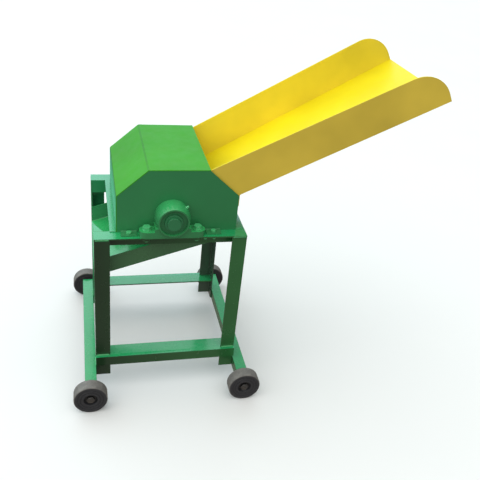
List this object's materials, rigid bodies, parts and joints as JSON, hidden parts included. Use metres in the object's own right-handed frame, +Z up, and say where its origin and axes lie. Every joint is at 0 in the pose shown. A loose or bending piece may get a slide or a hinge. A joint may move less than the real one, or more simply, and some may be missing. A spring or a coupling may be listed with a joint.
{
  "type": "chaff cutter",
  "caption": "Wheeled chaff cutter: a raised open feed trough leads stalks to a cased knife rotor on an angle-iron frame, with a sloping discharge chute below.",
  "frame": {"origin": "on the floor, under the middle of the whole machine's box", "axes": "+X towards the raised end of the feed trough, +Y from the front bearing to the driven end of the shaft, +Z up"},
  "size_m": [0.9599, 0.5846, 0.9441],
  "materials": {
    "green_paint": "gloss",
    "yellow_paint": "gloss",
    "bright_steel": "satin",
    "painted_iron": "painted",
    "dark_iron": "rough",
    "wheel_rubber": "matte",
    "seal_rubber": "matte"
  },
  "bodies": {
    "frame": {"front_top_rail": "green_paint", "rear_top_rail": "green_paint", "right_top_rail": "green_paint", "left_side_rail": "green_paint", "corner_gusset": "green_paint", "front_left_leg": "green_paint", "front_right_leg": "green_paint", "rear_left_leg": "green_paint", "rear_right_leg": "green_paint", "front_lower_rail": "green_paint", "rear_lower_rail": "green_paint", "left_runner": "green_paint", "right_runner": "green_paint", "axle_brackets": "green_paint", "stub_axles": "dark_iron", "axle_spacers": "green_paint", "axle_washers": "dark_iron", "axle_nuts": "dark_iron", "front_end_plate": "green_paint", "rear_end_plate": "green_paint", "cover": "green_paint", "side_wall": "green_paint", "feed_trough": "yellow_paint", "discharge_chute": "green_paint", "bed_knife_bar": "dark_iron", "bed_knife": "bright_steel", "bed_knife_screws": "bright_steel", "front_bearing_housing": "painted_iron", "rear_bearing_housing": "painted_iron", "front_outer_ring": "bright_steel", "rear_outer_ring": "bright_steel", "front_bearing_balls": "bright_steel", "rear_bearing_balls": "bright_steel", "bearing_seals": "seal_rubber", "grease_nipples": "green_paint", "bearing_bolts": "green_paint", "bearing_washers": "green_paint", "bearing_nuts": "green_paint", "casing_bolts": "green_paint", "trough_bolts": "green_paint", "chute_bolts": "green_paint", "sheet_nuts": "green_paint"},
    "rotor": {"main_shaft": "bright_steel", "knife_discs": "dark_iron", "knife_1": "bright_steel", "knife_2": "bright_steel", "knife_3": "bright_steel", "knife_4": "bright_steel", "knife_screws": "bright_steel", "front_inner_ring": "bright_steel", "rear_inner_ring": "bright_steel"},
    "front_left_wheel": {"front_left_tyre": "wheel_rubber", "front_left_hub": "dark_iron"},
    "front_right_wheel": {"front_right_tyre": "wheel_rubber", "front_right_hub": "dark_iron"},
    "rear_left_wheel": {"rear_left_tyre": "wheel_rubber", "rear_left_hub": "dark_iron"},
    "rear_right_wheel": {"rear_right_tyre": "wheel_rubber", "rear_right_hub": "dark_iron"}
  },
  "joints": [
    {"name": "rotor_spin", "type": "hinge", "parent": "frame", "child": "rotor", "pos_m": [-0.21585, 0, 0.5476], "axis": [0, 1, 0], "continuous": true},
    {"name": "front_left_wheel_spin", "type": "hinge", "parent": "frame", "child": "front_left_wheel", "pos_m": [-0.43385, -0.2753, 0.046], "axis": [0, 1, 0], "continuous": true},
    {"name": "front_right_wheel_spin", "type": "hinge", "parent": "frame", "child": "front_right_wheel", "pos_m": [0.00215, -0.2753, 0.046], "axis": [0, 1, 0], "continuous": true},
    {"name": "rear_left_wheel_spin", "type": "hinge", "parent": "frame", "child": "rear_left_wheel", "pos_m": [-0.43385, 0.2753, 0.046], "axis": [0, 1, 0], "continuous": true},
    {"name": "rear_right_wheel_spin", "type": "hinge", "parent": "frame", "child": "rear_right_wheel", "pos_m": [0.00215, 0.2753, 0.046], "axis": [0, 1, 0], "continuous": true}
  ]
}
